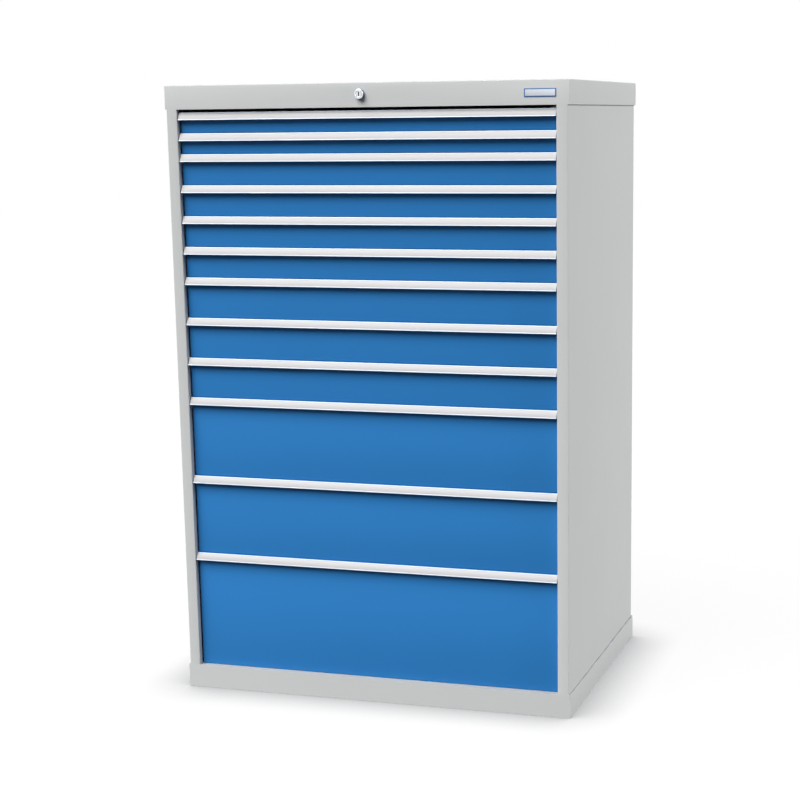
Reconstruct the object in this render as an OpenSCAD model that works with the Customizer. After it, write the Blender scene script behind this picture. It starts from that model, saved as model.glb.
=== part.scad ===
// Floor-standing steel drawer cabinet: a folded sheet housing, twelve drawers on
// telescopic slides, and a key lock that drops a bar in front of every drawer's catch.
// Millimetres. X runs to the right, Y into the cabinet, Z up, and the origin lies on the
// floor under the middle of the housing. Depths are measured back from the column faces.

/* [Drawer heights] */
// Height of each of the two drawers at the top
shallow_h = 50; // [50:1:70]
// Height of each of the four drawers below them
low_h = 75; // [55:1:95]
// Height of each of the three drawers in the middle
medium_h = 100; // [60:1:140]
// Height of each of the two deep drawers
deep_h = 200; // [120:5:260]
// Height of the bottom drawer
tall_h = 303; // [150:1:400]

/* [Drawer trays] */
// Width inside a drawer
drawer_w = 900; // [600:5:1200]
// Depth inside a drawer
drawer_d = 600; // [450:5:800]
// Sheet thickness of a tray
tray_t = 1.2; // [0.8:0.1:2]
// Tray floor above the bottom of its drawer space
tray_lift = 4; // [2:0.5:6]
// Tray rim below the top of its handle
tray_drop = 3; // [1:0.5:6]

/* [Drawer fronts] */
// Front sheet behind the column faces
front_recess = 15; // [14:0.5:20]
// Depth of the folded front panel
front_d = 12; // [6:0.5:13]
// Sheet thickness of a front panel
front_t = 1.5; // [1:0.1:2.5]
// Width of the rim that fastens a front panel to its tray
front_rim = 12; // [8:0.5:16]
// Gap beside a front panel
front_side_gap = 3; // [2:0.5:8]
// Gap under a front panel
front_gap = 1; // [0.6:0.2:3]

/* [Handles] */
// Height of the handle strip
handle_h = 18; // [16:0.2:24]
// Top of a handle below the top of its drawer space
handle_drop = 7.2; // [5:0.2:9]
// Depth of the handle's upper edge
handle_top_d = 8.5; // [5:0.5:10]
// Depth of the handle's lower edge
handle_low_d = 0.5; // [0:0.5:3]
// Wall thickness of the handle
handle_t = 2.2; // [1.8:0.1:2.8]
// Depth of the finger lip along the lower edge
lip_d = 4.5; // [3.5:0.5:5.5]
// Upper edge of the handle above the wall behind it
lip_rise = 2; // [1:0.5:3]
// Lower edge of the flange that is fastened to the front, below the upper edge of the handle
flange_h = 8; // [6:0.5:9]
// Gap beside a handle
handle_side_gap = 1.8; // [1:0.2:4]
// Width of the two lips that hold the label
label_lip = 2.2; // [1.5:0.1:3]
// Depth of the label channel
channel_d = 0.9; // [0.6:0.1:1.2]
// Thickness of the label strip
label_t = 0.6; // [0.3:0.1:0.6]
// Clearance around the label strip
label_gap = 0.1; // [0.05:0.05:0.2]

/* [Housing] */
// Sheet thickness of the housing
sheet = 1.5; // [1:0.1:2]
// Film between pieces that are welded together
weld_film = 0.1; // [0.05:0.05:0.2]
// Width of a front column
column_w = 27.5; // [26:0.5:40]
// Depth of a front column
column_d = 16; // [10:0.5:20]
// Fold behind the column
column_fold = 17; // [8:0.5:20]
// Height of the cover's skirt
cover_h = 57; // [54:1:80]
// Height of the base plinth
base_h = 59; // [40:1:120]
// How far the cover and the plinth stand proud of the sides and the back
overhang = 4; // [3:0.5:8]
// Depth of the lip under the cover's front
cover_lip = 14; // [8:0.5:16]
// Width of the rim that the plinth stands on
foot_w = 30; // [20:1:60]
// Space behind the trays
rear_space = 98.6; // [60:0.2:140]
// Width of the flanges that hold the back panel
rear_flange = 20; // [12:0.5:30]
// Gap around the edge of the back panel
back_gap = 0.5; // [0.2:0.1:1]

/* [Slides] */
// Room for the slide between a tray and its column
slide_space = 23.8; // [20:0.2:30]
// Height of the fixed rail
rail_h = 30; // [26:0.5:32]
// Wall thickness of the slide members
rail_t = 1.5; // [1:0.1:2]
// Running clearance between slide members
slide_gap = 0.4; // [0.3:0.05:0.5]
// Clearance between a slide and its column
opening_gap = 1; // [0.6:0.1:1.5]
// Length of the flanges of the fixed rail
rail_flange = 11; // [8:0.5:14]
// Length of the flanges of the middle runner
runner_flange = 9; // [7:0.5:12]
// Fixed rail above the bottom of its drawer space
rail_lift = 8; // [6:0.5:9]
// Depth of the front end of the fixed rails
rail_front = 40; // [40:0.5:46]
// How much further back than the trays the fixed rails reach
rail_tail = 40; // [10:1:50]
// How much shorter a runner is than the fixed rail
runner_short = 10; // [0:1:30]
// Width of the uprights that carry the rails
upright_w = 30; // [20:1:50]
// Front uprights ahead of the rail ends
upright_lead = 1.5; // [0:0.5:1.5]

/* [Lock] */
// Lock axis above the lower edge of the cover
lock_up = 30.5; // [28:0.5:34]
// Radius of the lock's collar
collar_r = 11.5; // [11:0.1:14]
// How far the collar stands out from the cover
collar_d = 10; // [5:0.5:14]
// Radius of the lock barrel
barrel_r = 9.5; // [9:0.1:10.5]
// Radius of the turning plug
plug_r = 7.2; // [6.5:0.1:7.6]
// Clearance around the plug and the barrel
lock_gap = 0.3; // [0.2:0.05:0.4]
// Depth of the rear end of the barrel
barrel_end = 20; // [16:0.5:21]
// Keyway width
key_w = 2.6; // [2:0.1:3]
// Keyway height
key_h = 9.6; // [7:0.1:11]
// Keyway depth
key_d = 8; // [4:0.5:14]
// Radius of the nut behind the cover
nut_r = 13.5; // [12.5:0.5:16]
// Thickness of the nut
nut_t = 4; // [3:0.5:6]
// Radius of the cam disc on the plug
cam_r = 10; // [9.5:0.5:12]
// Thickness of the cam disc
cam_t = 3.5; // [2:0.5:3.5]
// Side of the square tail that carries the cam
tail_w = 6; // [5:0.5:7]
// Radius of the two driving pins
pin_r = 2; // [1.6:0.1:2.4]
// Clearance between a pin and its slot
pin_gap = 0.4; // [0.3:0.05:0.6]
// Thickness of the link bar
link_t = 2; // [1.5:0.1:2.5]
// Height of the link bar
link_h = 22; // [21:0.5:26]
// Clearance between the link bar and its neighbours
link_gap = 0.8; // [0.4:0.1:0.9]
// Thickness of the locking bar
bar_t = 5; // [5:0.5:7]
// Depth of the locking bar
bar_d = 10; // [8:0.5:10]
// Gap between the locking bar and the upright behind it
bar_gap = 0.5; // [0.3:0.1:0.8]
// Distance of the locking bar from the drawer opening
bar_out = 6; // [5:0.5:9]
// Gap left under the locking bar when it is down
bar_foot_gap = 4; // [2:0.5:4]
// Height of the locking bar's fingers
finger_h = 4.5; // [3:0.5:5]
// Thickness of the locking bar's fingers
finger_t = 4; // [3:0.5:4]
// Reach of the fingers into the drawer opening
finger_in = 13; // [10:0.5:14]
// Height of a drawer catch above its rail
catch_h = 8; // [6.5:0.5:8.5]
// Thickness of a drawer catch
catch_t = 3; // [2:0.5:3]
// Width of a drawer catch
catch_w = 14; // [10:0.5:16]
// Clearance over and under a catch
catch_gap = 3; // [2.5:0.5:3.5]
// Length of a guide for the bars
guide_w = 12; // [8:0.5:20]
// Wall thickness of a guide
guide_t = 2; // [1.5:0.5:2.5]

/* [Hidden] */
$fn = 64;
// Overrun of a cutting tool past the face that it opens
cut = 1;

// Drawers from top to bottom
heights = [
    shallow_h, shallow_h,
    low_h, low_h, low_h, low_h,
    medium_h, medium_h, medium_h,
    deep_h, deep_h,
    tall_h
];
drawers = len(heights);

// Housing
open_half = drawer_w / 2 + tray_t + slide_space;
body_half = open_half + column_w;
wall_in = body_half - sheet;
skirt_in = body_half + overhang - sheet;
tray_half = drawer_w / 2 + tray_t;
tray_front = front_recess + front_d;
tray_rear = tray_front + drawer_d + 2 * tray_t;
body_d = tray_rear + rear_space;
open_top = base_h + sum_to(drawers);
total_h = open_top + cover_h;
deck_z = total_h - sheet;

// Slides, from the column inwards
runner_out = open_half - opening_gap;
runner_in = runner_out - rail_t;
rail_in = runner_out + slide_gap;
rail_out = rail_in + rail_t;
rail_rear = tray_rear + rail_tail;
runner_step = rail_t + slide_gap;
drawer_rail_step = 2 * runner_step;
upright_front = rail_front - upright_lead;
upright_rear = tray_rear;

// Lock linkage
lock_z = open_top + lock_up;
collar_front = -collar_d;
cam_rear = barrel_end + cam_t;
link_front = cam_rear + link_gap;
link_rear = link_front + link_t;
bar_rear = upright_front - bar_gap;
bar_front = bar_rear - bar_d;
bar_in = open_half + bar_out;
bar_x = bar_in + bar_t / 2;
catch_d = rail_front - slide_gap - catch_t;
finger_d = catch_d - slide_gap - finger_t - cut;
catch_top = rail_lift + rail_h + catch_h;
finger_low = catch_top + catch_gap + cut;
lock_travel = catch_h + cut;
crank_r = lock_travel / sqrt(2);
slot_r = pin_r + pin_gap;
link_left = -lock_travel / 2 - slot_r - guide_t;
link_right = bar_x + slot_r + guide_t;
guide_side = 4 * guide_w;

function at(d) = d - body_d / 2;
function sum_to(i) = i == 0 ? 0 : heights[i - 1] + sum_to(i - 1);
function top_z(i) = open_top - sum_to(i);
function low_z(i) = top_z(i) - heights[i];
function handle_z(i) = top_z(i) - handle_drop;
function front_low_z(i) = i == drawers - 1 ? low_z(i) + front_gap : handle_z(i + 1) + front_gap;
function part_name(i, piece) = str("drawer_", i < 9 ? "0" : "", i + 1, "_", piece);

// Colours as the photograph shows them
housing_grey = [0.78, 0.79, 0.79];
front_blue = [0.19, 0.47, 0.73];
handle_pale = [0.88, 0.875, 0.88];
zinc = [0.70, 0.71, 0.72];
chrome = [0.80, 0.80, 0.82];

// A block between two corners
module block(low, high) {
    translate(low)
        cube(high - low);
}

// A block between depths d0 and d1 that spans the same width on both sides of the middle
module wide_block(half_w, d0, d1, z0, z1) {
    block([-half_w, at(d0), z0], [half_w, at(d1), z1]);
}

// A channel along Y with its web at x_web, open towards x_tip
module channel(x_web, x_tip, d0, d1, z0, z1) {
    way = sign(x_tip - x_web);
    hollow_web = x_web + way * rail_t;
    hollow_tip = x_tip + way * cut;
    difference() {
        block([min(x_web, x_tip), at(d0), z0], [max(x_web, x_tip), at(d1), z1]);
        block(
            [min(hollow_web, hollow_tip), at(d0) - cut, z0 + rail_t],
            [max(hollow_web, hollow_tip), at(d1) + cut, z1 - rail_t]
        );
    }
}

// A drawing in the YZ plane, swept across the cabinet
module across(half_w) {
    translate([-half_w, 0, 0])
        rotate([90, 0, 90])
            linear_extrude(2 * half_w)
                children();
}

// A round bar along Y at a place in the XZ plane
module round_bar(x, z, r, d0, d1) {
    translate([x, at(d0), z])
        rotate([-90, 0, 0])
            cylinder(h = d1 - d0, r = r);
}

module both_sides() {
    children();
    mirror([1, 0, 0])
        children();
}

// Housing

// A pan with its open side down: the plate on top and a skirt all round, flush with the columns
module pan(z0, z1) {
    difference() {
        wide_block(skirt_in + sheet, 0, body_d + overhang, z0, z1);
        wide_block(skirt_in, sheet, body_d + overhang - sheet, z0 - cut, z1 - sheet);
    }
}

// A strap that hangs from the cover and holds the link bar
module link_guide(x) {
    z0 = lock_z - link_h / 2 - slide_gap;
    z1 = lock_z + link_h / 2 + slide_gap;
    difference() {
        block(
            [x - guide_w / 2, at(link_front - slide_gap - guide_t), z0 - guide_t],
            [x + guide_w / 2, at(link_rear + slide_gap + guide_t), deck_z - weld_film]
        );
        block(
            [x - guide_w, at(link_front - slide_gap), z0],
            [x + guide_w, at(link_rear + slide_gap), z1]
        );
    }
}

// The front of the cover: it stands between the side skirts under the plate and carries the lock,
// and its lower edge is folded back
module front_rail() {
    difference() {
        wide_block(skirt_in - weld_film, 0, sheet, open_top, deck_z - weld_film);
        round_bar(0, lock_z, barrel_r + lock_gap, -cut, sheet + cut);
    }
    wide_block(open_half - opening_gap, 0, cover_lip, open_top, open_top + sheet);
}

module top_cover() {
    color(housing_grey) {
        difference() {
            pan(open_top, total_h);
            wide_block(skirt_in, -cut, sheet + cut, open_top - cut, deck_z);
        }
        front_rail();
        link_guide(guide_side);
        link_guide(open_half - guide_side);
    }
}

// One sheet: a box-folded front column that ends under the cover's skirt, and the wall, which reaches
// up to the cover's plate. A strip is welded on behind as the flange that holds the back panel.
module side_panel() {
    column = [
        [open_half + column_fold, column_d],
        [open_half, column_d],
        [open_half, 0],
        [body_half, 0],
        [body_half, column_d],
        [wall_in, column_d],
        [wall_in, sheet],
        [open_half + sheet, sheet],
        [open_half + sheet, column_d - sheet],
        [open_half + column_fold, column_d - sheet]
    ];
    wall_rear = body_d - sheet - weld_film;
    color(housing_grey) {
        translate([0, at(0), base_h])
            linear_extrude(open_top - base_h)
                polygon(column);
        block([wall_in, at(sheet), base_h], [body_half, at(wall_rear), deck_z]);
        block([body_half - rear_flange, at(body_d - sheet), base_h], [body_half, at(body_d), deck_z]);
    }
}

module left_side() {
    mirror([1, 0, 0])
        side_panel();
}

module right_side() {
    side_panel();
}

module back_panel() {
    color(housing_grey)
        wide_block(wall_in - back_gap, body_d - 2 * sheet, body_d - sheet, base_h, deck_z);
}

module base_plinth() {
    foot_in = body_half + overhang - foot_w;
    color(housing_grey) {
        pan(0, base_h);
        difference() {
            wide_block(skirt_in, sheet, body_d + overhang - sheet, 0, sheet);
            wide_block(foot_in, foot_w, body_d + overhang - foot_w, -cut, sheet + cut);
        }
    }
}

// An upright: a channel with its back to the rails
module upright(d0) {
    outline = [
        [rail_out, d0],
        [wall_in, d0],
        [wall_in, d0 + sheet],
        [rail_out + sheet, d0 + sheet],
        [rail_out + sheet, d0 + upright_w - sheet],
        [wall_in, d0 + upright_w - sheet],
        [wall_in, d0 + upright_w],
        [rail_out, d0 + upright_w]
    ];
    translate([0, at(0), base_h])
        linear_extrude(open_top - base_h)
            polygon(outline);
}

// A staple on the upright that keeps the locking bar upright
module bar_guide(z) {
    x0 = bar_in - slide_gap;
    x1 = bar_in + bar_t + slide_gap;
    difference() {
        block(
            [x0 - guide_t, at(bar_front - slide_gap - guide_t), z - guide_w / 2],
            [x1 + guide_t, at(upright_front), z + guide_w / 2]
        );
        block(
            [x0, at(bar_front - slide_gap), z - guide_w],
            [x1, at(upright_front) + cut, z + guide_w]
        );
    }
}

module uprights() {
    color(zinc) {
        both_sides() {
            upright(upright_front);
            upright(upright_rear);
        }
        for (i = [0, drawers - 1])
            bar_guide(low_z(i) + rail_lift + rail_h / 2);
    }
}

module cabinet_rails() {
    color(zinc)
        both_sides()
            for (i = [0 : drawers - 1]) {
                z0 = low_z(i) + rail_lift;
                channel(rail_out, rail_in - rail_flange, rail_front, rail_rear, z0, z0 + rail_h);
            }
}

// Drawers

// The tab on the right-hand drawer rail that the locking bar stops
module catch(z0) {
    x0 = tray_half + rail_t;
    block(
        [x0, at(catch_d), z0 + rail_h - drawer_rail_step - rail_t],
        [x0 + catch_w, at(catch_d + catch_t), z0 + rail_h + catch_h]
    );
}

module drawer_rail(z0, d0) {
    x_tip = runner_in - slide_gap;
    channel(tray_half, x_tip, d0, tray_rear, z0 + drawer_rail_step, z0 + rail_h - drawer_rail_step);
}

module tray(i) {
    z0 = low_z(i) + tray_lift;
    z1 = handle_z(i) - tray_drop;
    rail_z = low_z(i) + rail_lift;
    color(housing_grey) {
        difference() {
            wide_block(tray_half, tray_front, tray_rear, z0, z1);
            wide_block(drawer_w / 2, tray_front + tray_t, tray_rear - tray_t, z0 + tray_t, z1 + cut);
        }
        both_sides()
            drawer_rail(rail_z, catch_d);
        catch(rail_z);
    }
}

// A sheet folded back along its four edges, then inwards to a rim that the tray is fastened to
module front(i) {
    half_w = open_half - front_side_gap;
    back = tray_front - front_t;
    z0 = front_low_z(i);
    z1 = handle_z(i);
    color(front_blue)
        difference() {
            wide_block(half_w, front_recess, tray_front, z0, z1);
            wide_block(half_w - front_t, front_recess + front_t, back, z0 + front_t, z1 - front_t);
            wide_block(half_w - front_rim, back - cut, tray_front + cut, z0 + front_rim, z1 - front_rim);
        }
}

// The slope of a handle's face: run backwards for each millimetre up
slope_run = handle_top_d - handle_low_d;
slope_len = sqrt(pow(slope_run, 2) + pow(handle_h, 2));
slope_up = [slope_run, handle_h] / slope_len;
slope_in = [handle_h, -slope_run] / slope_len;
face_low = [handle_low_d, -handle_h];

// A point of the handle's face, so far up the slope and so far behind it
function on_face(up, behind) = face_low + up * slope_up + behind * slope_in;
// Where the back of the sloping wall lies at a height
function wall_back(z) = handle_top_d + z * slope_run / handle_h + handle_t * slope_len / handle_h;

// Handle section, with the label channel on its sloping face and a lip for the fingers below
handle_outline = [
    [front_recess, -lip_rise],
    [wall_back(-lip_rise), -lip_rise],
    [wall_back(0), 0],
    [handle_top_d, 0],
    on_face(slope_len - label_lip, 0),
    on_face(slope_len - label_lip, channel_d),
    on_face(label_lip, channel_d),
    on_face(label_lip, 0),
    face_low,
    face_low + [lip_d, 0],
    face_low + [lip_d, handle_t],
    [wall_back(handle_t - handle_h), handle_t - handle_h],
    [wall_back(-lip_rise - handle_t), -lip_rise - handle_t],
    [front_recess - handle_t, -lip_rise - handle_t],
    [front_recess - handle_t, -flange_h],
    [front_recess, -flange_h]
];

label_low = label_lip + label_gap;
label_high = slope_len - label_lip - label_gap;
label_back = channel_d - label_gap;
label_outline = [
    on_face(label_low, label_back),
    on_face(label_low, label_back - label_t),
    on_face(label_high, label_back - label_t),
    on_face(label_high, label_back)
];

module handle(i) {
    half_w = open_half - handle_side_gap;
    color(handle_pale)
        translate([0, at(0), handle_z(i)]) {
            across(half_w)
                polygon(handle_outline);
            across(half_w)
                polygon(label_outline);
        }
}

module runners(i) {
    z0 = low_z(i) + rail_lift + runner_step;
    z1 = low_z(i) + rail_lift + rail_h - runner_step;
    color(zinc)
        both_sides()
            channel(runner_out, runner_in - runner_flange, rail_front, rail_rear - runner_short, z0, z1);
}

// Lock

module lock_barrel() {
    color(chrome) {
        difference() {
            union() {
                round_bar(0, lock_z, collar_r, collar_front, 0);
                round_bar(0, lock_z, barrel_r, 0, barrel_end);
            }
            round_bar(0, lock_z, plug_r + lock_gap, collar_front - cut, barrel_end + cut);
        }
        difference() {
            round_bar(0, lock_z, nut_r, sheet, sheet + nut_t);
            round_bar(0, lock_z, barrel_r + lock_gap, 0, sheet + nut_t + cut);
        }
    }
}

module lock_plug() {
    color(chrome) {
        difference() {
            round_bar(0, lock_z, plug_r, collar_front, barrel_end);
            block(
                [-key_w / 2, at(collar_front) - cut, lock_z - key_h / 2],
                [key_w / 2, at(collar_front + key_d), lock_z + key_h / 2]
            );
        }
        block(
            [-tail_w / 2, at(barrel_end), lock_z - tail_w / 2],
            [tail_w / 2, at(cam_rear), lock_z + tail_w / 2]
        );
    }
}

module lock_cam() {
    pin_x = -lock_travel / 2;
    pin_z = lock_z + lock_travel / 2;
    color(zinc) {
        difference() {
            round_bar(0, lock_z, cam_r, barrel_end, cam_rear);
            block(
                [-tail_w / 2, at(barrel_end) - cut, lock_z - tail_w / 2],
                [tail_w / 2, at(cam_rear) + cut, lock_z + tail_w / 2]
            );
        }
        round_bar(pin_x, pin_z, pin_r, cam_rear, link_rear + cut);
    }
}

// A straight slot with round ends, cut through the link bar between two places
module link_slot(x0, z0, x1, z1) {
    run = sqrt(pow(x1 - x0, 2) + pow(z1 - z0, 2));
    tilt = atan2(z1 - z0, x1 - x0);
    round_bar(x0, z0, slot_r, link_front - cut, link_rear + cut);
    round_bar(x1, z1, slot_r, link_front - cut, link_rear + cut);
    translate([x0, at(link_front) - cut, z0])
        rotate([0, -tilt, 0])
            translate([0, 0, -slot_r])
                cube([run, link_t + 2 * cut, 2 * slot_r]);
}

module link_bar() {
    half = lock_travel / 2;
    color(zinc)
        difference() {
            block(
                [link_left, at(link_front), lock_z - link_h / 2],
                [link_right, at(link_rear), lock_z + link_h / 2]
            );
            link_slot(-half, lock_z + half, -half, lock_z + crank_r);
            link_slot(bar_x - lock_travel, lock_z - half, bar_x, lock_z + half);
        }
}

module locking_bar() {
    pin_z = lock_z + lock_travel / 2;
    color(zinc) {
        block(
            [bar_in, at(bar_front), low_z(drawers - 1) + lock_travel + bar_foot_gap],
            [bar_in + bar_t, at(bar_rear), pin_z + pin_r]
        );
        for (i = [0 : drawers - 1])
            block(
                [open_half - finger_in, at(finger_d), low_z(i) + finger_low],
                [bar_in, at(finger_d + finger_t), low_z(i) + finger_low + finger_h]
            );
        round_bar(bar_x, pin_z, pin_r, link_front - cut, bar_front);
    }
}

top_cover();
left_side();
right_side();
back_panel();
base_plinth();
uprights();
cabinet_rails();
lock_barrel();
lock_plug();
lock_cam();
link_bar();
locking_bar();
for (i = [0 : drawers - 1]) {
    tray(i);
    front(i);
    handle(i);
    runners(i);
}
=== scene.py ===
# %% [markdown]
# # A steel drawer cabinet
# The imported CAD model is the frame that everything here is fitted to. It gives every place and
# size, and this script gives the looks: folded sheet with soft bends, powder coat, pale handle
# strips, a turned lock and the light of a studio. The nodes of the CAD model stay in the scene, and
# those that a new piece stands for are hidden.

# %% The frame
import math

import bpy
from mathutils import Matrix, Vector


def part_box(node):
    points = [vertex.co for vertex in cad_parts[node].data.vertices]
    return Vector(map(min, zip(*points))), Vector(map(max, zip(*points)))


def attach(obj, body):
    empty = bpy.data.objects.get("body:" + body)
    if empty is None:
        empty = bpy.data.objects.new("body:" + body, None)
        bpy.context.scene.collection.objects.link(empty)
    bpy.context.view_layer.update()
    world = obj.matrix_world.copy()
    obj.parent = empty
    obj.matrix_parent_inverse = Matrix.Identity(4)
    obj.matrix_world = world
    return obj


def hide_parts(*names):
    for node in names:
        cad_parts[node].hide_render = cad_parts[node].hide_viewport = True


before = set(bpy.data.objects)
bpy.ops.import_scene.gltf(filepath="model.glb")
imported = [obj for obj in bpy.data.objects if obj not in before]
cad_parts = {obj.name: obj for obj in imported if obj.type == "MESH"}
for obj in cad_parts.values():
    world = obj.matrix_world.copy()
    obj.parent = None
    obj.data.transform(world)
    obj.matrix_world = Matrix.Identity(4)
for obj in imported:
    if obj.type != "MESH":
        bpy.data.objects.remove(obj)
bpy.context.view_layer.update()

MM = 0.001
DRAWERS = [f"drawer_{number:02d}" for number in range(1, 13)]

# %% [markdown]
# ## The camera
# The photograph was taken from the right, a little below the top of the cabinet. Its lens and
# place were solved from the edges of the housing and of the handles. Upright edges lean a little,
# so the camera looks down, and the small shift says that the picture was cropped from a wider one.

# %% The camera
lens_view = bpy.data.cameras.new("photo_view")
lens_view.sensor_width = 36
lens_view.lens = 80.381
lens_view.shift_x = -0.0933
lens_view.shift_y = 0.0860
camera = bpy.data.objects.new("photo_view", lens_view)
bpy.context.scene.collection.objects.link(camera)
turn = Matrix.Rotation(math.radians(16.9535), 4, "Z")
tip = Matrix.Rotation(math.radians(90 - 11.158), 4, "X")
roll = Matrix.Rotation(math.radians(-0.664), 4, "Z")
camera.matrix_world = Matrix.Translation((1.49764, -4.38809, 1.43758)) @ turn @ tip @ roll
bpy.context.scene.camera = camera
print("camera at", [round(value, 2) for value in camera.location])

# %% [markdown]
# ## Tools of the bench
# Each piece is modelled as it would be by hand. A block is added at its size, its faces and edges
# are picked by where they lie, edit mode shapes them, and modifiers finish the piece. The few
# helpers below do only that: add a block, draw a line, pick, and finish. A piece's place is applied
# to its mesh, so that its object stays at the origin like the nodes of the frame.
#
# Two places count as one within SLACK. An edge or a normal runs along an axis when its share of it
# is above ALONG, and across it when below ACROSS. FLAT is strict enough to leave out a bend.

# %% Blocks, picks and modifiers
SLACK, FLAT, ALONG, ACROSS = 0.05 * MM, 0.99, 0.9, 0.1


def clear_selection():
    """Leaves edit mode and deselects everything, the nodes of the frame among it."""
    if bpy.context.object and bpy.context.object.mode != "OBJECT":
        bpy.ops.object.mode_set(mode="OBJECT")
    bpy.ops.object.select_all(action="DESELECT")


def settle(name):
    """Names the new object, and puts its place into its mesh."""
    piece = bpy.context.object
    piece.name = piece.data.name = name
    bpy.ops.object.transform_apply(location=True, rotation=True, scale=True)
    return piece


def add_block(name, low, high):
    """A block between two corners."""
    low, high = Vector(low), Vector(high)
    clear_selection()
    bpy.ops.mesh.primitive_cube_add(size=1, location=(low + high) / 2, scale=high - low)
    return settle(name)


def pick(piece, kind, wanted):
    """Goes to edit mode with the wanted faces or edges selected, and nothing else."""
    bpy.ops.object.mode_set(mode="EDIT")
    bpy.ops.mesh.select_mode(type=kind)
    bpy.ops.mesh.select_all(action="DESELECT")
    bpy.ops.object.mode_set(mode="OBJECT")
    mesh = piece.data
    if kind == "FACE":
        for face in mesh.polygons:
            face.select = wanted(face.center, face.normal)
    else:
        for edge in mesh.edges:
            start, end = (mesh.vertices[index].co for index in edge.vertices)
            edge.select = wanted((start + end) / 2, (end - start).normalized())
    bpy.ops.object.mode_set(mode="EDIT")


def join_all(pieces):
    """Joins pieces into the first one."""
    clear_selection()
    for piece in pieces:
        piece.select_set(True)
    bpy.context.view_layer.objects.active = pieces[0]
    bpy.ops.object.join()


def finish_with(piece, kind, **settings):
    """Adds a modifier, sets it and applies it."""
    bpy.ops.object.mode_set(mode="OBJECT")
    modifier = piece.modifiers.new(kind.title(), kind)
    for key, value in settings.items():
        setattr(modifier, key, value)
    bpy.context.view_layer.objects.active = piece
    bpy.ops.object.modifier_apply(modifier=modifier.name)


def near(value, target):
    return abs(value - target) < SLACK


def round_off(piece, radius, steps, wanted):
    """Rounds the wanted edges."""
    pick(piece, "EDGE", wanted)
    bpy.ops.mesh.bevel(offset=radius, segments=steps, affect="EDGES", clamp_overlap=True)
    bpy.ops.object.mode_set(mode="OBJECT")


def smooth(piece):
    """Soft shading over bends, with crisp edges elsewhere."""
    clear_selection()
    piece.select_set(True)
    bpy.context.view_layer.objects.active = piece
    bpy.ops.object.shade_smooth_by_angle(angle=math.radians(40))


# %% [markdown]
# ## Finishes
# Colours are written as they look in the photograph. Every finish has a slow drift in tone, a fine
# grain and a roughness of its own, all read from Object coordinates, so that the pattern has its
# real size and stays on a drawer when it opens. A small class wraps a socket, so that sums of
# sockets are written as sums.

# %% Shader maths
class Wire:
    """A socket that takes part in sums: each operator adds a Math node."""

    def __init__(self, bench, socket):
        self.bench = bench
        self.socket = socket

    def _math(self, operation, *values):
        return self.bench.node("Math", {"operation": operation}, dict(enumerate(values)))

    def __add__(self, other):
        return self._math("ADD", self, other)

    def __sub__(self, other):
        return self._math("SUBTRACT", self, other)

    def __mul__(self, other):
        return self._math("MULTIPLY", self, other)

    def __lt__(self, other):
        return self._math("LESS_THAN", self, other)

    def __abs__(self):
        return self._math("ABSOLUTE", self)

    __radd__, __rmul__ = __add__, __mul__


class Finish:
    """A material, and one method that adds any node to it."""

    def __init__(self, owner):
        owner.use_nodes = True
        self.owner = owner
        self.nodes = owner.node_tree.nodes
        self.links = owner.node_tree.links

    def join(self, socket, value):
        if isinstance(value, Wire):
            self.links.new(value.socket, socket)
        else:
            socket.default_value = value

    def node(self, kind, settings=None, sockets=None, output=0):
        new = self.nodes.new("ShaderNode" + kind)
        for key, value in (settings or {}).items():
            setattr(new, key, value)
        for key, value in (sockets or {}).items():
            self.join(new.inputs[key], value)
        return Wire(self, new.outputs[output])

    def place(self, *scale):
        """Object coordinates, stretched along the axes."""
        here = self.node("TexCoord", output="Object")
        return self.node("Mapping", {}, {"Vector": here, "Scale": scale})

    def noise(self, vector, scale, detail):
        return self.node("TexNoise", {}, {"Vector": vector, "Scale": scale, "Detail": detail})

    def blend(self, share, first, second):
        """One colour turning into another as the share goes from 0 to 1."""
        sockets = {0: share, 6: first, 7: second}
        return self.node("Mix", {"data_type": "RGBA"}, sockets, output=2)

    def surface(self, **sockets):
        """Sets the shader: names have _ where the sockets have a space."""
        shader = self.nodes["Principled BSDF"]
        for key, value in sockets.items():
            self.join(shader.inputs[key.replace("_", " ")], value)

    def relief(self, height, depth, strength):
        sockets = {"Height": height, "Distance": depth, "Strength": strength}
        return self.node("Bump", {}, sockets)


def linear(red, green, blue):
    """A colour as a picture shows it, 0 to 255, in the values that a shader takes."""
    values = []
    for shade in (red / 255, green / 255, blue / 255):
        values.append(shade / 12.92 if shade <= 0.04045 else ((shade + 0.055) / 1.055) ** 2.4)
    return (*values, 1.0)


# %% [markdown]
# Powder coat is a plastic film baked onto the steel. From near, it has the fine ripple of an
# orange's peel, about 1.5 mm from hill to hill, and a roughness that changes a little with the
# thickness of the film. Grey housing, grey trays and blue fronts are the same paint in other
# colours, so one function makes them all. A fourth, duller grey is painted shade on faces that look
# up.

# %% Powder coat
def powder_coat(name, colour, roughness):
    paint = Finish(bpy.data.materials.new(name))
    everywhere = paint.place(1, 1, 1)
    drift = paint.noise(everywhere, 4.0, 3.0)
    film = paint.noise(everywhere, 60.0, 2.0)
    peel = paint.noise(everywhere, 650.0, 1.0)
    darker = tuple(0.965 * value for value in colour[:3]) + (1.0,)
    lighter = tuple(1.035 * value for value in colour[:3]) + (1.0,)
    paint.surface(
        Base_Color=paint.blend(0.7 * drift + 0.3 * peel, darker, lighter),
        Roughness=roughness - 0.06 + 0.08 * film + 0.04 * peel,
        Normal=paint.relief(peel, 0.06 * MM, 0.35),
        Specular_IOR_Level=0.15,
    )
    print("finish:", name)
    return paint.owner


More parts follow.
